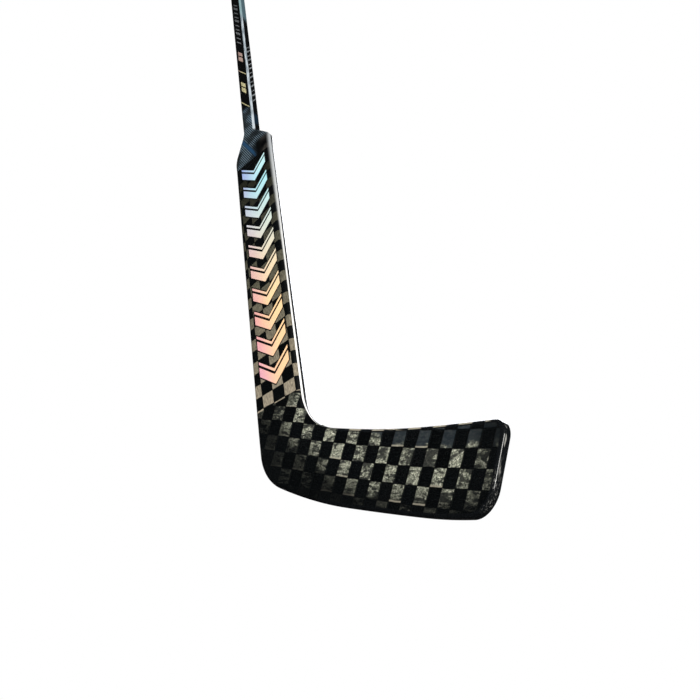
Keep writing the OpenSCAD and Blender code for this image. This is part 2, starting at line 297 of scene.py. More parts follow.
def addPaddleRail(name, side):
    radius, half = stick["paddleEdge"], stick["paddleThick"] / 2
    inner = halfPaddle - radius - stick["railLip"]
    section = [(inner, -half)]
    for start, backwards in ((-math.pi / 2, radius - half), (0, half - radius)):
        for i in range(stick["roundSteps"] + 1):
            turn = start + math.pi / 2 / stick["roundSteps"] * i
            section.append((halfPaddle - radius + radius * math.cos(turn),
                            backwards + radius * math.sin(turn)))
    section.append((inner, half))
    rings = []
    for i in range(stick["panels"] + 1):
        along = mix(stick["seam"], stick["neckBase"], i / stick["panels"])
        rings.append([axisPoint(side * c, w, along) for c, w in section])
    return addLoft(name, rings)


paddleFront = fitPiece(addShell("paddleFrontShell", -1), "paddle_front_shell")
paddleBack = fitPiece(addShell("paddleBackShell", 1), "paddle_back_shell")
toeSideRail = fitPiece(addPaddleRail("paddleToeSideRail", 1), "paddle_toe_side_rail")
heelSideRail = fitPiece(addPaddleRail("paddleHeelSideRail", -1), "paddle_heel_side_rail")
print("paddle made")


# Corner of a section, seen from the centre of its rounding: from round (0) to bevelled (1)
def cornerOffsets(radius, bevelled):
    cut = stick["shaftFillet"]
    a, b, c = Vector((radius, -cut)), Vector((radius, 0)), Vector((radius - cut * 0.7, cut * 0.7))
    half = [a.lerp(b, t / 3).lerp(b.lerp(c, t / 3), t / 3) for t in range(4)]
    bevel = half + [Vector((radius / 2, radius / 2))] + [Vector((p[1], p[0])) for p in reversed(half)]
    turns = [math.pi / 16 * t for t in range(9)]
    rounded = [radius * Vector((math.cos(turn), math.sin(turn))) for turn in turns]
    return [p.lerp(q, bevelled) for p, q in zip(rounded, bevel)]


# A closed section from across = left to right, with four equal corners
def sectionRing(left, right, thick, radius, bevelled, along):
    ring = []
    offsets = cornerOffsets(radius, bevelled)
    for signX, signY, order in ((1, -1, -1), (1, 1, 1), (-1, 1, -1), (-1, -1, 1)):
        centre = (right - radius if signX > 0 else left + radius, signY * (thick / 2 - radius))
        for p in offsets[::order]:
            ring.append(axisPoint(centre[0] + signX * p[0], centre[1] + signY * p[1], along))
    return ring


def readAt(table, x):
    for (x0, y0), (x1, y1) in zip(table, table[1:]):
        if x <= x1:
            return mix(y0, y1, max(x - x0, 0) / (x1 - x0))
    return table[-1][1]


# Roundings as (distance along from the shoulder's corner or its slope's foot, distance across)
neckDetail = {
    "flareSteps": 14, "levels": 30, "bevelReach": 26.0,
    "cornerRound": ((3, 0), (1.2, 0.5), (0, 1.4)), "footRound": ((0, 0.3), (3, 0)),
}


# The neck narrows in an S on the heel side, and in a corner and a slope on the toe side
def addNeck():
    base, top, radius = stick["neckBase"], stick["neckTop"], stick["flareRadius"]
    halfShaft = stick["shaftWidth"] / 2
    steps = neckDetail["flareSteps"]
    bends = [(radius * math.sin(t), radius * (1 - math.cos(t)))
             for t in (stick["flareAngle"] * i / steps for i in range(steps + 1))]
    heelSide = [(base, halfPaddle)]
    heelSide += [(stick["flareLow"] + rise, halfPaddle - inward) for rise, inward in bends]
    heelSide += [(stick["flareTop"] - rise, halfShaft + inward) for rise, inward in reversed(bends)]
    heelSide.append((top, halfShaft))
    corner, foot = stick["shoulder"], stick["shoulder"] + stick["shoulderSlope"]
    toeSide = [(base, halfPaddle)]
    toeSide += [(corner - below, halfPaddle - inward) for below, inward in neckDetail["cornerRound"]]
    toeSide += [(foot + above, halfShaft + outward) for above, outward in neckDetail["footRound"]]
    toeSide.append((top, halfShaft))
    levels = neckDetail["levels"]
    stations = sorted({round(a, 2) for a, w in heelSide + toeSide}
                      | {round(mix(base, top, i / levels), 2) for i in range(levels + 1)})
    rings = []
    for along in stations:
        k = (along - base) / (top - base)
        thick = mix(stick["paddleThick"], stick["shaftThick"], ease(k))
        radius = mix(stick["paddleEdge"], stick["shaftBevel"], k)
        rings.append(sectionRing(-readAt(heelSide, along), readAt(toeSide, along), thick, radius,
                                 ease((along - top) / neckDetail["bevelReach"] + 1), along))
    return addLoft("neckBlock", rings, sharp=50)


def shaftRing(wall, along, shrink=0.0):
    half = stick["shaftWidth"] / 2 - wall - shrink
    bevel = stick["shaftBevel"] - wall / 2 - shrink * 0.4
    return sectionRing(-half, half, stick["shaftThick"] - 2 * (wall + shrink), bevel, 1, along)


# The plug and rim as (distance up from the shaft's end, how far the section is drawn in)
capSizes = {
    "height": 6.0,
    "plug": ((-31.0, 0.8), (-29.5, 0.0), (0.0, 0.0)),
    "rim": ((0.0, 0.7), (0.35, 0.6), (0.8, 0.08), (1.2, 0.0), (3.4, 0.0), (4.3, 0.2), (5.1, 0.75),
            (5.7, 1.6), (5.95, 2.6), (6.0, 3.4)),
}


def addShaft():
    low, high = stick["neckTop"], stick["length"] - capSizes["height"]
    stations = [mix(low, high, i / stick["shaftRings"]) for i in range(stick["shaftRings"] + 1)]
    rings = [shaftRing(0, a) for a in stations]
    rings += [shaftRing(stick["shaftWall"], a) for a in reversed(stations)]
    return addLoft("shaftTube", rings, joined=True)


# Rubber end cap with a groove at the shaft, a rounded rim and the plug inside the tube
def addCap():
    base = stick["length"] - capSizes["height"]
    rings = [shaftRing(stick["shaftWall"], base + a, shrink) for a, shrink in capSizes["plug"]]
    rings += [shaftRing(0, base + a, shrink) for a, shrink in capSizes["rim"]]
    return addLoft("buttEndPlug", rings, sharp=50)


neck = fitPiece(addNeck(), "neck_block")
shaft = fitPiece(addShaft(), "shaft_tube")
cap = fitPiece(addCap(), "butt_end_plug")
print("neck, shaft and cap made")


def linear(code, alpha=1.0):
    values = [int(code[i:i + 2], 16) / 255 for i in (1, 3, 5)]
    return tuple(v / 12.92 if v <= 0.04045 else ((v + 0.055) / 1.055) ** 2.4 for v in values) + (alpha,)


# Adds a node with its settings, then its inputs as values or as the sockets they come from
def addNode(tree, kind, inputs=(), out=0, stops=(), **settings):
    node = tree.nodes.new("ShaderNode" + kind)
    for name, value in settings.items():
        setattr(node, name, value)
    for name, value in (inputs.items() if isinstance(inputs, dict) else enumerate(inputs)):
        if isinstance(value, bpy.types.NodeSocket):
            tree.links.new(value, node.inputs[name])
        else:
            node.inputs[name].default_value = value
    if stops:
        ramp = node.color_ramp.elements
        while len(ramp) < len(stops):
            ramp.new(1.0)
        for stop, (spot, code) in zip(ramp, stops):
            stop.position = spot
            stop.color = linear(code)
    return node.outputs[out] if node.outputs else node


def newMaterial(name):
    material = bpy.data.materials.new(name)
    material.use_nodes = True
    material.node_tree.nodes.clear()
    return material, material.node_tree


# Closes a material: the shader's own values, and a relief whose full height is in millimetres
def closeMaterial(tree, values, relief=None, height=0.0):
    if relief is not None:
        values["Normal"] = addNode(tree, "Bump", {"Height": relief, "Distance": height * mm})
    surface = addNode(tree, "BsdfPrincipled", values)
    addNode(tree, "OutputMaterial", [surface])


# Place on the paddle or shaft in millimetres: x across, y back, z along the axis
def axisPlace(tree):
    here = addNode(tree, "TexCoord", out=3)
    return addNode(tree, "Mapping", {0: here, 1: (soleX * cosLean, soleY, -soleX * sinLean),
                                     2: (0, stick["lean"], 0), 3: (1000, 1000, 1000)})


# Product of its parts, most often the strength of an area. Each part is a socket or number, or
# (value, start, end) for a soft edge there, then its strengths at both ends if not 0 and 1.
def mask(tree, *parts):
    total = None
    for part in parts:
        if isinstance(part, tuple):
            value, start, end, low, high = (*part, 0.0, 1.0)[:5]
            part = addNode(tree, "MapRange", [value, start, end, low, high],
                           interpolation_type="SMOOTHSTEP")
        total = part if total is None else addNode(tree, "Math", [total, part], operation="MULTIPLY")
    return total


# Lays a colour over another in the area that the parts of a mask give
def paint(tree, under, over, *parts):
    return addNode(tree, "Mix", {0: mask(tree, *parts), 6: under, 7: over}, out=2, data_type="RGBA")


# Woven tapes of spread carbon tow. A tape passes over its neighbour in one cell and under
# it in the next, so light and dark squares alternate, and a clear lacquer lies over them.
weave = {
    "tape": 18.74, "slant": math.radians(-1.32),
    "bladeCorner": (13.28, 88.94), "paddleCorner": (32.6, 150.5),
    "khaki": ((0.34, "#4C5046"), (0.5, "#8E917F"), (0.64, "#E0E0CC")),
    "black": ((0.0, "#030506"), (0.5, "#05080A"), (1.0, "#07090A")),
    # Painted shade and painted highlights: the dimmed tape colour, the bar and glint colours, and the
    # last two edge colours
    "wrinkle": "#16181A", "shadedTape": "#1E252B", "bar": "#9A9484", "glint": "#D9D7CF",
    "underCrest": "#0A0D10", "shadedEdge": "#0A0B0C", "edgeHighlight": "#F4F4F2",
}
clearLacquer = {"Specular IOR Level": 0.1, "Coat Weight": 1.0, "Coat Roughness": 0.04, "Coat IOR": 1.5}


# Which tape shows at a spot, how near the cell's edge it is, and chances drawn for each cell
def tapeCells(tree, spot, corner, slant):
    turned = Vector((corner[0] * math.cos(slant) + corner[1] * math.sin(slant),
                     corner[0] * math.sin(slant) - corner[1] * math.cos(slant))) / weave["tape"]
    pitch = 1 / weave["tape"]
    cells = addNode(tree, "Mapping", {0: spot, 1: (-turned[0], -turned[1], 0), 2: (0, 0, slant),
                                      3: (pitch, -pitch, 0)})
    whole = addNode(tree, "VectorMath", [cells], operation="FLOOR")
    part = addNode(tree, "SeparateXYZ", [addNode(tree, "VectorMath", [cells], operation="FRACTION")]).node
    index = addNode(tree, "SeparateXYZ", [whole]).node
    total = addNode(tree, "Math", [index.outputs[0], index.outputs[1]], operation="ADD")
    light = addNode(tree, "Math", [total, 2.0], operation="FLOORED_MODULO")
    nearU = addNode(tree, "Math", [part.outputs[0], 1.0], operation="PINGPONG")
    restU = addNode(tree, "Math", [1.0, nearU], operation="SUBTRACT")
    sideU = addNode(tree, "Math", [restU, nearU], operation="MINIMUM")
    restV = addNode(tree, "Math", [1.0, part.outputs[1]], operation="SUBTRACT")
    sideV = addNode(tree, "Math", [restV, part.outputs[1]], operation="MINIMUM")
    near = addNode(tree, "Math", [sideU, sideV], operation="MINIMUM")
    dice = addNode(tree, "TexWhiteNoise", [whole], noise_dimensions="3D").node
    return {"light": light, "near": near, "part": part.outputs, "chance": dice.outputs[0],
            "jump": dice.outputs[1]}


# Dark squiggles and blots where resin and tow have wrinkled, different in each cell
wrinkle = {
    "jump": (90, 90, 90), "stretch": (0.55, 1.45, 0.3), "squiggleScale": 0.26, "waves": 6.0,
    "squiggle": (0.1, 0.24), "blotScale": 0.16, "chanceShare": 0.14, "blot": (0.5, 0.6, 0.1, 1.0),
}


def wrinkles(tree, spot, cells):
    moved = addNode(tree, "VectorMath", {0: cells["jump"], 1: wrinkle["jump"], 2: spot},
                    operation="MULTIPLY_ADD")
    drawn = addNode(tree, "VectorMath", [moved, wrinkle["stretch"]], operation="MULTIPLY")
    field = addNode(tree, "TexNoise", {"Vector": drawn, "Scale": wrinkle["squiggleScale"], "Detail": 3.0,
                                       "Roughness": 0.6, "Distortion": 1.4})
    level = addNode(tree, "Math", [mask(tree, field, wrinkle["waves"]), 0.5], operation="PINGPONG")
    blot = addNode(tree, "TexNoise", {"Vector": drawn, "Scale": wrinkle["blotScale"], "Detail": 3.0,
                                      "Roughness": 0.6})
    luck = addNode(tree, "Math", [blot, mask(tree, cells["chance"], wrinkle["chanceShare"])],
                   operation="ADD")
    return mask(tree, (level, *wrinkle["squiggle"]), (luck, *wrinkle["blot"]))


# Painted shade that dims the blade's light cells: the heel below a slanted line, the top row towards the
# toe, the last row above the sole and the toe's edge. Their places are in millimetres along the blade or
# above the ice, with the strengths there after them, and fill is in cells.
bladeShade = {
    "slope": (0.4, 0.916), "ragged": 20.0, "heel": (52.0, 88.0, 0.06, 1.0),
    "topLimit": (70.0, 150.0, 94.0, 68.5), "topCloud": (24.0, 12.0), "topEdge": (-4.0, 4.0),
    "topFrom": (60.0, 90.0), "topDim": 0.95,
    "soleLine": (12.0, 16.0, 0.2, 1.0), "soleFade": (14.0, 42.0, 0.5, 1.0),
    "toeFade": (245.0, 300.0, 1.0, 0.3), "heelFade": (-36.0, -20.0, 0.45, 1.0),
    "paddleFade": (126.0, 100.0, 0.6, 1.0), "fill": (0.012, 0.05),
}
# Painted highlights: bars at a cell's lower end, as shares of the cell, and the crest along the top edge,
# as millimetres in from the edge and then along and up
bladeHighlights = {
    "barStart": (0.86, 0.9), "barEnd": (0.99, 0.95), "barChance": (0.66, 0.7), "barStrength": 0.6,
    "crestOuter": (2.7, 2.2), "crestInner": (0.25, 0.6), "crestHeight": (60.0, 80.0),
    "crestFrom": (50.0, 60.0), "crestTo": (286.0, 276.0), "crestFront": (0.1, 0.0), "crestStrength": 0.9,
    "darkDepth": (4.6, 3.4), "darkFrom": (40.0, 60.0),
}
# Painted glints round the toe: a thin streak along its edge and flecks lower down. Places round the rail
# go from -1 at its front to 1 at its back.
toeGlints = {
    "lineStretch": (1.0, 0.12, 1.0), "lineScale": 0.5, "lineThreshold": (0.5, 0.62),
    "lineFront": (-0.5, -0.38), "lineBack": (0.0, -0.15), "lineLow": (38.0, 46.0),
    "lineHigh": (90.0, 82.0), "lineStrength": 0.3,
    "foldStretch": (1.0, 0.3, 1.0), "foldScale": 0.9, "foldThreshold": (0.54, 0.66),
    "foldFront": (-0.99, -0.85), "foldBack": (0.4, 0.1), "foldHigh": (52.0, 40.0),
    "foldLow": (6.0, 14.0), "foldStrength": 0.15,
    "from": (280.0, 288.0), "depth": (6.0, 4.0),
}
# A painted highlight along the middle of the heel's inner edge, and painted shade behind it
innerEdge = {
    "along": (34.0, 20.0), "height": (84.0, 100.0), "depth": (4.0, 3.0),
    "frontSide": (-18.0, 14.0, -0.6, -0.8), "backSide": (-22.0, 14.0, -0.2, -0.62),
    "darkAlong": (60.0, 40.0), "darkHeight": (80.0, 88.0), "darkSoft": (-0.06, 0.0),
    "frontSoft": (0.0, 0.06), "backSoft": (0.0, -0.06),
}


def bladeLaminate():
    material, tree = newMaterial("wovenCarbonBlade")
    lay = addNode(tree, "Attribute", out=1, attribute_name="lay")
    along, height, _ = addNode(tree, "SeparateXYZ", [lay]).node.outputs
    rim = addNode(tree, "Attribute", out=1, attribute_name="rim")
    depth, front, _ = addNode(tree, "SeparateXYZ", [rim]).node.outputs
    drift = addNode(tree, "TexNoise", {"Vector": lay, "Scale": 0.07, "Detail": 1.0}, out=1)
    spot = addNode(tree, "VectorMath", {0: drift, 1: (1.6, 1.6, 0), 2: lay}, operation="MULTIPLY_ADD")
    spot = addNode(tree, "VectorMath", [spot, (-0.8, -0.8, 0)], operation="ADD")
    cells = tapeCells(tree, spot, weave["bladeCorner"], weave["slant"])
    cloud = addNode(tree, "TexNoise", {"Vector": lay, "Scale": 0.045, "Detail": 2.0})
    grain = addNode(tree, "TexNoise", {"Vector": lay, "Scale": 0.55, "Detail": 3.0, "Roughness": 0.7})
    tone = wrinkles(tree, lay, cells)
    khaki = addNode(tree, "ValToRGB", [grain], stops=weave["khaki"])
    khaki = paint(tree, linear(weave["wrinkle"]), khaki, tone)
    black = addNode(tree, "ValToRGB", [cells["chance"]], stops=weave["black"])

    # Painted shade: the light cells dim at the heel, along the top row, above the sole and towards the
    # toe and the paddle
    shade = bladeShade
    slope = [mask(tree, value, share) for value, share in zip((along, height), shade["slope"])]
    tilt = addNode(tree, "Math", slope, operation="ADD")
    ragged = addNode(tree, "Math", [tilt, mask(tree, cloud, shade["ragged"])], operation="ADD")
    heel = mask(tree, (ragged, *shade["heel"]))
    limit = mask(tree, (along, *shade["topLimit"]))
    level = addNode(tree, "Math", [cloud, shade["topCloud"][0], height], operation="MULTIPLY_ADD")
    level = addNode(tree, "Math", [level, shade["topCloud"][1]], operation="SUBTRACT")
    past = addNode(tree, "Math", [level, limit], operation="SUBTRACT")
    above = mask(tree, (past, *shade["topEdge"]), (along, *shade["topFrom"]))
    sole = mask(tree, (height, *shade["soleLine"]), (height, *shade["soleFade"]))
    toeward = mask(tree, (along, *shade["toeFade"]), (along, *shade["heelFade"]),
                   (height, *shade["paddleFade"]))
    khaki = paint(tree, khaki, linear(weave["shadedTape"]), above, shade["topDim"])
    fill = mask(tree, (cells["near"], *shade["fill"]))
    shown = mask(tree, cells["light"], fill, heel, sole, toeward)
    colour = paint(tree, black, khaki, shown)

    # Painted highlights: light bars at the lower end of light cells and a light crest along the top edge
    bars = bladeHighlights
    low = mask(tree, (cells["part"][1], *bars["barStart"]), (cells["part"][1], *bars["barEnd"]))
    bar = mask(tree, low, (cells["chance"], *bars["barChance"]), cells["light"], heel, toeward,
               bars["barStrength"])
    colour = paint(tree, colour, linear(weave["bar"]), bar)
    crest = mask(tree, (depth, *bars["crestOuter"]), (depth, *bars["crestInner"]),
                 (height, *bars["crestHeight"]), (along, *bars["crestFrom"]),
                 (along, *bars["crestTo"]), (front, *bars["crestFront"]))
    colour = paint(tree, colour, linear(weave["underCrest"]), (depth, *bars["darkDepth"]),
                   (along, *bars["darkFrom"]))
    colour = paint(tree, colour, linear(weave["bar"]), crest, cells["light"], bars["crestStrength"])

    # Painted glints: a thin light streak along the toe's edge and light flecks lower down
    glintLook = toeGlints
    drawn = addNode(tree, "VectorMath", [lay, glintLook["lineStretch"]], operation="MULTIPLY")
    streak = addNode(tree, "TexNoise", {"Vector": drawn, "Scale": glintLook["lineScale"], "Detail": 3.0,
                                        "Distortion": 0.6})
    line = mask(tree, (streak, *glintLook["lineThreshold"]), (front, *glintLook["lineFront"]),
                (front, *glintLook["lineBack"]), (height, *glintLook["lineLow"]), (height, *glintLook["lineHigh"]),
                glintLook["lineStrength"])
    drawn = addNode(tree, "VectorMath", [lay, glintLook["foldStretch"]], operation="MULTIPLY")
    folds = addNode(tree, "TexNoise", {"Vector": drawn, "Scale": glintLook["foldScale"], "Detail": 3.0,
                                       "Distortion": 0.8})
    foldGlints = mask(tree, (folds, *glintLook["foldThreshold"]), (front, *glintLook["foldFront"]),
                   (front, *glintLook["foldBack"]), (height, *glintLook["foldHigh"]), (height, *glintLook["foldLow"]),
                   glintLook["foldStrength"])
    brightest = addNode(tree, "Math", [line, foldGlints], operation="MAXIMUM")
    glint = mask(tree, brightest, (along, *glintLook["from"]), (depth, *glintLook["depth"]))
    colour = paint(tree, colour, linear(weave["glint"]), glint)

    # Painted highlight along the heel's inner edge, with painted shade behind it
    facing = innerEdge
    inner = mask(tree, (along, *facing["along"]), (height, *facing["height"]), (depth, *facing["depth"]))
    before, behind = (addNode(tree, "Math", [front, mask(tree, (along, *facing[side]))],
                              operation="SUBTRACT") for side in ("frontSide", "backSide"))
    colour = paint(tree, colour, linear(weave["shadedEdge"]), (along, *facing["darkAlong"]),
                   (height, *facing["darkHeight"]), (before, *facing["darkSoft"]))
    band = mask(tree, inner, (before, *facing["frontSoft"]), (behind, *facing["backSoft"]))
    colour = paint(tree, colour, linear(weave["edgeHighlight"]), band)
    pillow = addNode(tree, "Math", [mask(tree, (cells["near"], 0.0, 0.12)), mask(tree, tone, 0.3)],
                     operation="ADD")
    closeMaterial(tree, {"Base Color": colour, "Roughness": 0.42, **clearLacquer}, pillow, 0.12)
    return material


# The same tapes on the paddle and its rails, with painted shade that darkens them towards the neck, where
# the laminate turns black. The cloth is draped: its columns lean and its rows spread towards the toe
# side.
paddleCloth = {
    "columnLean": 0.0233, "leanFrom": 151, "rowSpread": (-0.00083, 0.961), "wrap": 4.7,
    "towTurn": 0.65, "towStretch": (1.0, 0.22, 0.3), "towScale": 0.8,
    "towShade": (0.36, 0.66, 0.42, 1.42),
    # painted shade: the light tape darkens up the paddle
    "base": ((0.0, "#8E8473"), (0.15, "#766E5E"), (0.45, "#504E41"), (0.8, "#2B2B22"), (1.0, "#1C1C17")),
    "fill": (0.0, 0.04), "end": (590.0, 560.0),
}
# The toe side's edge: painted shade behind a painted highlight line that widens and greys to the neck
paddleEdge = {
    "darkFrom": (36.5, 37.0), "darkBack": (-2.4, -1.9), "widen": (260.0, 600.0),
    "frontGrow": 3.0, "backGrow": -2.6, "lineFront": -4.9, "soft": (200.0, 600.0, -4.4, 1.4),
    "lineBack": (-1.7, -2.1), "lineFrom": (33.5, 36.0),
    "white": ((0.0, "#F6F6F4"), (0.45, "#DCDCDA"), (1.0, "#A9ADB0")),
}


# side is 1 for the toe side's rail, -1 for the heel side's and 0 for the shells
def paddleLaminate(name, side):
    material, tree = newMaterial(name)
    cloth, line = paddleCloth, paddleEdge
    x, y, z = addNode(tree, "SeparateXYZ", [axisPlace(tree)]).node.outputs
    deep = addNode(tree, "Math", [y], operation="ABSOLUTE")
    wrap = addNode(tree, "MapRange", [deep, 0.0, stick["paddleThick"] / 2, cloth["wrap"] * side, 0.0])
    across = addNode(tree, "Math", [x, wrap], operation="ADD")
    leaning = addNode(tree, "Math", [z, cloth["columnLean"], -cloth["columnLean"] * cloth["leanFrom"]],
                      operation="MULTIPLY_ADD")
    column = addNode(tree, "Math", [across, leaning], operation="ADD")
    spread = addNode(tree, "Math", [across, *cloth["rowSpread"]], operation="MULTIPLY_ADD")
    rise = addNode(tree, "Math", [z, weave["paddleCorner"][1]], operation="SUBTRACT")
    row = addNode(tree, "Math", [rise, spread, weave["paddleCorner"][1]], operation="MULTIPLY_ADD")
    flat = addNode(tree, "CombineXYZ", [column, row, y])
    drift = addNode(tree, "TexNoise", {"Vector": flat, "Scale": 0.05, "Detail": 1.0}, out=1)
    spot = addNode(tree, "VectorMath", {0: drift, 1: (2.0, 2.4, 0), 2: flat}, operation="MULTIPLY_ADD")
    spot = addNode(tree, "VectorMath", [spot, (-1.0, -1.2, 0)], operation="ADD")
    cells = tapeCells(tree, spot, weave["paddleCorner"], 0.0)

    tow = addNode(tree, "Mapping", {0: flat, 2: (0, 0, cloth["towTurn"]), 3: cloth["towStretch"]})
    grain = addNode(tree, "TexNoise", {"Vector": tow, "Scale": cloth["towScale"], "Detail": 4.0,
                                       "Roughness": 0.7})
    # Painted shade: the light cells darken from the seam up to the neck
    upward = addNode(tree, "MapRange", [z, stick["seam"], stick["neckBase"]])
    base = addNode(tree, "ValToRGB", [upward], stops=cloth["base"])
    shade = addNode(tree, "MapRange", [grain, *cloth["towShade"]])
    khaki = addNode(tree, "VectorMath", {0: base, "Scale": shade}, operation="SCALE")
    black = addNode(tree, "ValToRGB", [cells["chance"]], stops=weave["black"])
    fill = mask(tree, (cells["near"], *cloth["fill"]))
    colour = paint(tree, black, khaki, cells["light"], fill, mask(tree, (z, *cloth["end"])))
    # Painted shade at the back of the toe side's rounded edge, and a painted highlight line in front of
    # it
    if side > 0:
        colour = paint(tree, colour, linear(weave["shadedEdge"]), (x, *line["darkFrom"]),
                       (y, *line["darkBack"]))
        widen = mask(tree, (z, *line["widen"]))
        front = addNode(tree, "Math", [widen, line["frontGrow"], y], operation="MULTIPLY_ADD")
        back = addNode(tree, "Math", [widen, line["backGrow"], y], operation="MULTIPLY_ADD")
        soft = mask(tree, (z, *line["soft"]))
        band = mask(tree, (front, line["lineFront"], soft), (back, *line["lineBack"]),
                    (x, *line["lineFrom"]))
        colour = paint(tree, colour, addNode(tree, "ValToRGB", [upward], stops=line["white"]), band)
    pillow = addNode(tree, "Math", [mask(tree, (cells["near"], 0.0, 0.1)), mask(tree, grain, 0.25)],
                     operation="ADD")
    closeMaterial(tree, {"Base Color": colour, "Roughness": 0.42, **clearLacquer}, pillow, 0.1)
    return material


bladeWeave = bladeLaminate()
for piece in (bladeFront, bladeBack, soleRail, toeRail, topRail):
    piece.data.materials.append(bladeWeave)
paddleFront.data.materials.append(paddleLaminate("wovenCarbonPaddle", 0))
paddleBack.data.materials.append(paddleFront.data.materials[0])
toeSideRail.data.materials.append(paddleLaminate("wovenCarbonToeSideRail", 1))
heelSideRail.data.materials.append(paddleLaminate("wovenCarbonHeelSideRail", -1))
print("woven laminate made")

# The neck and shaft: unwoven black carbon under gloss, with printed lines and a stripe.
# Places are in millimetres across, back or along the axis, and widths in pitches.
shaftPrint = {
    # The edge, pale and dull colours below are a painted highlight and painted reflections
    "black": "#040506", "line": "#93ACBE", "stripe": "#1B3C59", "haze": "#77726A", "edge": "#A9ADB0",
    "pale": "#AEB7BE", "teal": "#7D979C", "blueHaze": "#142A3D", "dull": "#6F7A83", "tealSide": "#566F78",
    "lineDirection": (0.40, -0.915), "linePitch": 3.1, "crossPitch": 3.0,
    "lineWidth": (0.17, 0.05), "bead": (0.0, 0.3, 0.6, 1.0), "patch": (0.42, 0.58, 0.15, 1.0),
    "plainAcross": (4.0, 16.0), "plainBelow": (650.0, 636.0), "lineEnd": (752.0, 740.0),
    "frontFace": (-6.0, -8.0), "lineStrength": 0.8,
}


# Fine slanted lines under the gloss, beaded by the tows that cross them. The real lines are
# finer, and are drawn this coarse so that they show.
def printedLines(tree, place, parts, cloud):
    look = shaftPrint
    x, y, z = parts
    dx, dz = look["lineDirection"]
    lineStep = (-dz / look["linePitch"], 0, dx / look["linePitch"])
    crossStep = (dx / look["crossPitch"], 0, dz / look["crossPitch"])
    count = addNode(tree, "VectorMath", [place, lineStep], out=1, operation="DOT_PRODUCT")
    cross = addNode(tree, "VectorMath", [place, crossStep], out=1, operation="DOT_PRODUCT")
    line = mask(tree, (addNode(tree, "Math", [count, 0.5], operation="PINGPONG"), *look["lineWidth"]))
    bead = mask(tree, (addNode(tree, "Math", [cross, 0.5], operation="PINGPONG"), *look["bead"]))
    patch = mask(tree, (cloud, *look["patch"]))
    bare = mask(tree, (x, *look["plainAcross"]), (z, *look["plainBelow"]))
    plain = addNode(tree, "Math", [1.0, bare], operation="SUBTRACT")
    return mask(tree, line, bead, patch, plain, mask(tree, (z, *look["lineEnd"])),
                mask(tree, (y, *look["frontFace"])), look["lineStrength"])


# The neck's blue stripe, haze, edge band of painted shade and painted highlight, and the foot of the
# shaft's pale bevel, a painted reflection
neckLook = {
    "stripeAt": (17.0, 0, -669.0), "stripeFacing": (0.908, 0, 0.418), "stripeWidth": (4.0, 1.6),
    "stripeAcross": (14.0, 4.0), "stripeFront": (-4.0, -7.0),
    "hazePatch": (0.45, 0.75), "hazeAcross": (16.0, 36.0), "hazeBelow": (655.0, 610.0),
    "hazeStrength": 0.5, "darkFrom": (35.5, 37.2), "darkBack": (-2.4, -1.9),
    "bandFront": (-8.6, -1.5), "bandBack": (1.6, 0.6), "bandFrom": (33.0, 39.0),
    "ridgeAcross": (-3.6, -3.0), "ridgeFrom": (676.0, 682.0), "ridgeFront": (0.2, -0.3),
    "ridgeStrength": 0.9,
}


def neckLaminate():
    material, tree = newMaterial("glossCarbonNeck")
    look = neckLook
    place = axisPlace(tree)
    x, y, z = addNode(tree, "SeparateXYZ", [place]).node.outputs
    cloud = addNode(tree, "TexNoise", {"Vector": place, "Scale": 0.035, "Detail": 3.0})
    moved = addNode(tree, "VectorMath", [place, look["stripeAt"]], operation="ADD")
    gauge = addNode(tree, "VectorMath", [moved, look["stripeFacing"]], out=1, operation="DOT_PRODUCT")
    offset = addNode(tree, "Math", [gauge], operation="ABSOLUTE")
    stripe = mask(tree, (offset, *look["stripeWidth"]), (x, *look["stripeAcross"]),
                  (y, *look["stripeFront"]))
    colour = paint(tree, linear(shaftPrint["black"]), linear(shaftPrint["line"]),
                   printedLines(tree, place, (x, y, z), cloud))
    colour = paint(tree, colour, linear(shaftPrint["stripe"]), stripe)
    colour = paint(tree, colour, linear(shaftPrint["haze"]), (cloud, *look["hazePatch"]),
                   (x, *look["hazeAcross"]), (z, *look["hazeBelow"]), look["hazeStrength"])
    # Painted shade and a painted highlight band on the toe side's edge, as on the paddle
    colour = paint(tree, colour, linear(weave["shadedEdge"]), (x, *look["darkFrom"]),
                   (y, *look["darkBack"]))
    band = mask(tree, (y, *look["bandFront"]), (y, *look["bandBack"]), (x, *look["bandFrom"]))
    colour = paint(tree, colour, linear(shaftPrint["edge"]), band)
    # Painted reflection: the foot of the shaft's light bevel
    half, flat = stick["shaftWidth"] / 2, stick["shaftThick"] / 2 - stick["shaftBevel"]
    ridge = mask(tree, (x, *(half + a for a in look["ridgeAcross"])), (z, *look["ridgeFrom"]),
                 (y, *(-flat + a for a in look["ridgeFront"])))
    colour = paint(tree, colour, linear(shaftPrint["pale"]), ridge, look["ridgeStrength"])
    ripple = addNode(tree, "TexNoise", {"Vector": place, "Scale": 0.6})
    closeMaterial(tree, {"Base Color": colour, "Roughness": 0.35, **clearLacquer}, ripple, 0.03)
    return material


# The shaft's blue haze low down, its pale bevel, a painted reflection, and the teal above the printed
# part
shaftLook = {
    "hazeEnd": (754.0, 742.0), "hazePatch": (0.48, 0.62, 0.0, 0.7), "brushStretch": (1, 1, 0.1),
    "tealFrom": (1075.0, 1040.0), "bevelAcross": (-3.6, -3.0), "bevelFront": (0.2, -0.3),
    "bevelStrength": 0.92, "brush": (0.35, 0.65),
    "sideAcross": (-0.4, -0.1), "sideFrom": (1035.0, 1060.0), "sideStrength": 0.8,
}


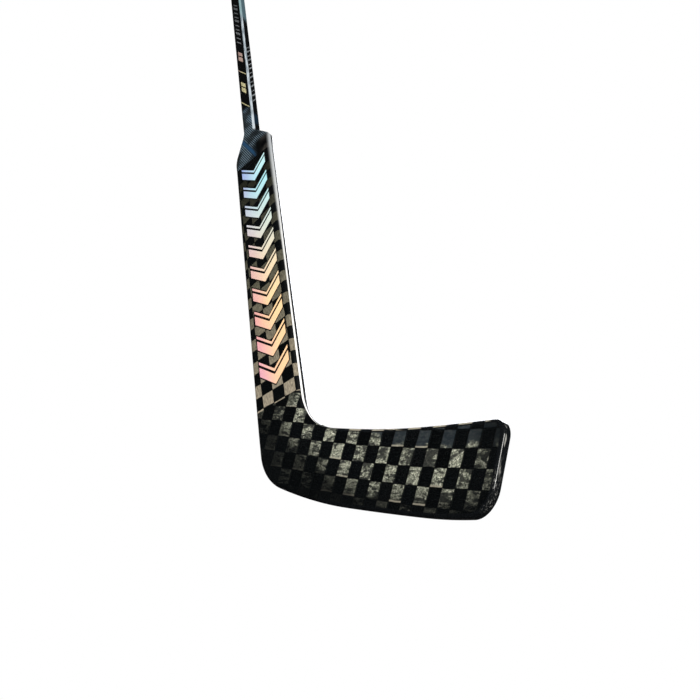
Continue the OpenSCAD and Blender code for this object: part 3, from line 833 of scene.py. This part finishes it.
def shaftLaminate():
    material, tree = newMaterial("glossCarbonShaft")
    look = shaftLook
    place = axisPlace(tree)
    x, y, z = addNode(tree, "SeparateXYZ", [place]).node.outputs
    half, flat = stick["shaftWidth"] / 2, stick["shaftThick"] / 2 - stick["shaftBevel"]
    drawn = addNode(tree, "VectorMath", [place, look["brushStretch"]], operation="MULTIPLY")
    cloud = addNode(tree, "TexNoise", {"Vector": place, "Scale": 0.035, "Detail": 3.0})
    brushed = addNode(tree, "TexNoise", {"Vector": drawn, "Scale": 0.35, "Detail": 3.0})
    low = mask(tree, (z, *look["hazeEnd"]))
    colour = paint(tree, linear(shaftPrint["black"]), linear(shaftPrint["blueHaze"]), low,
                   mask(tree, (cloud, *look["hazePatch"])))
    lines = printedLines(tree, place, (x, y, z), cloud)
    colour = paint(tree, colour, linear(shaftPrint["line"]), lines, low)
    # Painted reflection on the toe side's bevel, streaked, turning teal above the printed part
    bevel = mask(tree, (x, *(half + a for a in look["bevelAcross"])),
                 (y, *(-flat + a for a in look["bevelFront"])))
    tone = paint(tree, linear(shaftPrint["dull"]), linear(shaftPrint["pale"]), (brushed, *look["brush"]))
    tone = paint(tree, linear(shaftPrint["teal"]), tone, (z, *look["tealFrom"]))
    colour = paint(tree, colour, tone, bevel, look["bevelStrength"])
    side = mask(tree, (x, *(half + a for a in look["sideAcross"])), (z, *look["sideFrom"]))
    colour = paint(tree, colour, linear(shaftPrint["tealSide"]), side, look["sideStrength"])
    closeMaterial(tree, {"Base Color": colour, "Roughness": 0.35, **clearLacquer}, brushed, 0.03)
    return material


# Moulded rubber: dull, with a fine pitted skin from the mould
def rubber():
    material, tree = newMaterial("mouldedRubber")
    pits = addNode(tree, "TexNoise", {"Vector": axisPlace(tree), "Scale": 1.4, "Detail": 4.0,
                                      "Roughness": 0.6})
    colour = addNode(tree, "ValToRGB", [pits], stops=((0.3, "#131416"), (0.7, "#222427")))
    closeMaterial(tree, {"Base Color": colour, "Roughness": 0.72, "IOR": 1.52}, pits, 0.08)
    return material


# Cut closed-cell foam: matt, with cells about half a millimetre across drawn at 1.5 mm
def rigidFoam():
    material, tree = newMaterial("rigidFoam")
    cell = addNode(tree, "TexVoronoi", {"Vector": axisPlace(tree), "Scale": 0.66})
    colour = addNode(tree, "ValToRGB", [cell], stops=((0.0, "#DCD2AA"), (0.7, "#C4B98E")))
    closeMaterial(tree, {"Base Color": colour, "Roughness": 0.9, "IOR": 1.45}, cell, 0.2)
    return material


# Uncoated unidirectional carbon: grey-black, with straight filaments along the stick
def rawCarbon():
    material, tree = newMaterial("rawCarbon")
    lines = addNode(tree, "VectorMath", [axisPlace(tree), (1, 1, 0.04)], operation="MULTIPLY")
    tow = addNode(tree, "TexNoise", {"Vector": lines, "Scale": 1.2, "Detail": 4.0})
    colour = addNode(tree, "ValToRGB", [tow], stops=((0.3, "#1C1D1F"), (0.7, "#37393C")))
    closeMaterial(tree, {"Base Color": colour, "Roughness": 0.55, "IOR": 1.6, "Metallic": 0.2}, tow, 0.05)
    return material


# Iridescent foil under a thin coat: mint and lilac high on the paddle, cream in the middle,
# pink and peach low
foilLook = {
    "heelSide": ((0.0, "#DFA0B6"), (0.25, "#E2A19E"), (0.5, "#D9B2AC"), (0.7, "#BFC4CC"),
                 (1.0, "#8FA4DE")),
    "toeSide": ((0.0, "#F6C79A"), (0.3, "#F7D29E"), (0.5, "#E0D3B8"), (0.7, "#C4DBD8"), (0.85, "#ABE2EC"),
                (1.0, "#CDEEEF")),
    "reach": (160.0, 610.0), "sway": 18.0, "across": (-18.0, 24.0), "shimmer": (0.3, 0.7, 0.94, 1.06),
}


def foil():
    material, tree = newMaterial("iridescentFoil")
    place = axisPlace(tree)
    x, _, z = addNode(tree, "SeparateXYZ", [place]).node.outputs
    upward = addNode(tree, "MapRange", [z, *foilLook["reach"]])
    tones = [addNode(tree, "ValToRGB", [upward], stops=foilLook[side])
             for side in ("heelSide", "toeSide")]
    sway = mask(tree, addNode(tree, "TexNoise", {"Vector": place, "Scale": 0.03}), foilLook["sway"])
    sweep = addNode(tree, "Math", [x, sway], operation="ADD")
    colour = paint(tree, *tones, (sweep, *foilLook["across"]))
    grain = addNode(tree, "TexNoise", {"Vector": place, "Scale": 1.6, "Detail": 2.0})
    shimmer = addNode(tree, "MapRange", [grain, *foilLook["shimmer"]])
    colour = addNode(tree, "VectorMath", {0: colour, "Scale": shimmer}, operation="SCALE")
    closeMaterial(tree, {"Base Color": colour, "Roughness": 0.32, "Metallic": 0.15, "Coat Weight": 0.6,
                         "Coat Roughness": 0.06, "Coat IOR": 1.5}, grain, 0.01)
    return material


# Screen-printed ink under a thin coat: even, with a slight mottle
inkCoat = {"Roughness": 0.35, "Coat Weight": 0.7, "Coat Roughness": 0.06, "Coat IOR": 1.5}


def ink(name, stops):
    material, tree = newMaterial(name)
    grain = addNode(tree, "TexNoise", {"Vector": axisPlace(tree), "Scale": 0.5, "Detail": 3.0})
    colour = addNode(tree, "ValToRGB", [grain], stops=stops)
    closeMaterial(tree, {"Base Color": colour, **inkCoat}, grain, 0.01)
    return material


# The same ink in worn pale gold low on the shaft, rose above it and grey at the top
markLook = {
    "reach": (750.0, 1120.0), "wear": (0.35, 0.65, 0.4, 1.1),
    "base": ((0.0, "#BDB68A"), (0.12, "#C2BA8E"), (0.3, "#BEB68C"), (0.33, "#B09A8C"), (0.54, "#B0918A"),
             (0.56, "#6D7073"), (1.0, "#585C5F")),
}


def marks():
    material, tree = newMaterial("palePrint")
    place = axisPlace(tree)
    along = addNode(tree, "SeparateXYZ", [place], out=2)
    grain = addNode(tree, "TexNoise", {"Vector": place, "Scale": 0.4, "Detail": 3.0})
    upward = addNode(tree, "MapRange", [along, *markLook["reach"]])
    base = addNode(tree, "ValToRGB", [upward], stops=markLook["base"])
    wear = addNode(tree, "MapRange", [grain, *markLook["wear"]])
    colour = addNode(tree, "VectorMath", {0: base, "Scale": wear}, operation="SCALE")
    closeMaterial(tree, {"Base Color": colour, **inkCoat}, grain, 0.01)
    return material


neck.data.materials.append(neckLaminate())
shaft.data.materials.append(shaftLaminate())
cap.data.materials.append(rubber())
foam, carbon = rigidFoam(), rawCarbon()
finishes = {
    "shaft_spigot": carbon, "paddle_spar": carbon, "blade_spine": carbon,
    "paddle_core_toe_side": foam, "paddle_core_heel_side": foam,
    "blade_core_lower": foam, "blade_core_upper": foam, "paddle_chevrons": foil(),
    "paddle_chevron_border": ink("blackInk", ((0.3, "#040404"), (0.7, "#0A0A0B"))),
    "shaft_front_marks": marks(),
    "shaft_side_strokes": ink("silverInk", ((0.42, "#34393C"), (0.58, "#9CA2A6"))),
}
for name, finish in finishes.items():
    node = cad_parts[name]
    if not node.material_slots:
        node.data.materials.append(finish)
    for slot in node.material_slots:
        slot.material = finish
print("materials made")

# Studio: a pale floor that is clear from below, because the view is from under it, and fades
# out away from the stick, a dim room for reflections, and soft boxes
studio = {
    "floorSize": 6.0, "floorGap": 0.0004, "floorFade": (0.8, 2.6), "room": 0.85, "mirrored": 0.015,
    "lights": (
        # name, place, aim, size, power, colour
        ("keyBox", (1.6, -2.2, 1.6), (0.0, 0.0, 0.3), (1.4, 1.4), 95.0, "#FFFDF8"),
        ("edgeStrip", (2.7, -1.27, 0.9), (0.0, 0.0, 0.3), (0.16, 2.4), 2.0, "#FFFFFF"),
        ("backBox", (-1.4, 2.4, 1.9), (0.0, 0.0, 0.4), (1.6, 1.6), 60.0, "#F6F9FF"),
    ),
}


def addFloor():
    half = studio["floorSize"] / 2
    mesh = bpy.data.meshes.new("floor")
    corners = [(-half, -half, 0), (half, -half, 0), (half, half, 0), (-half, half, 0)]
    mesh.from_pydata(corners, [], [(0, 1, 2, 3)])
    floor = bpy.data.objects.new("floor", mesh)
    bpy.context.scene.collection.objects.link(floor)
    floor.location.z = -studio["floorGap"]
    material, tree = newMaterial("paleFloor")
    place = addNode(tree, "TexCoord", out=3)
    grain = addNode(tree, "TexNoise", {"Vector": place, "Scale": 3.0, "Detail": 3.0})
    colour = addNode(tree, "ValToRGB", [grain], stops=((0.3, "#E9E9E7"), (0.7, "#F1F1EF")))
    surface = addNode(tree, "BsdfPrincipled", {"Base Color": colour, "Roughness": 0.7})
    below = addNode(tree, "NewGeometry", out=6)
    away = addNode(tree, "VectorMath", [place], operation="LENGTH", out=1)
    faded = mask(tree, (away, *studio["floorFade"]))
    clear = addNode(tree, "Math", [below, faded], operation="MAXIMUM")
    seen = addNode(tree, "MixShader", [clear, surface, addNode(tree, "BsdfTransparent")])
    addNode(tree, "OutputMaterial", [seen])
    mesh.materials.append(material)
    floor.visible_glossy = False      # the gloss would otherwise show the bare floor as a grey veil


def addLight(name, spot, aim, size, power, code):
    light = bpy.data.lights.new(name, "AREA")
    light.shape = "RECTANGLE"
    light.size, light.size_y = size
    light.energy = power
    light.color = linear(code)[:3]
    lamp = bpy.data.objects.new(name, light)
    bpy.context.scene.collection.objects.link(lamp)
    lamp.location = spot
    lamp.rotation_euler = (Vector(aim) - Vector(spot)).to_track_quat("-Z", "Y").to_euler()


def addWorld():
    world = bpy.data.worlds.new("studio")
    world.use_nodes = True
    tree = world.node_tree
    tree.nodes.clear()
    ray = addNode(tree, "LightPath").node.outputs
    room = addNode(tree, "MapRange", [ray["Is Glossy Ray"], 0.0, 1.0, studio["room"], studio["mirrored"]])
    shown = addNode(tree, "MapRange", [ray["Is Camera Ray"], 0.0, 1.0, room, 1.0])
    light = addNode(tree, "Background", [(1, 1, 1, 1), shown])
    addNode(tree, "OutputWorld", [light])
    bpy.context.scene.world = world


addFloor()
addWorld()
for light in studio["lights"]:
    addLight(*light)

view = {"place": (0.39583, -0.53591, -0.05742), "turn": (107.896, -13.334, 39.430), "lens": 34.552}
camera = bpy.data.objects.new("camera", bpy.data.cameras.new("camera"))
bpy.context.scene.collection.objects.link(camera)
camera.location = view["place"]
camera.rotation_euler = [math.radians(turn) for turn in view["turn"]]
camera.data.lens = view["lens"]
bpy.context.scene.camera = camera
bpy.context.scene.view_settings.view_transform = "Standard"
print("studio made")
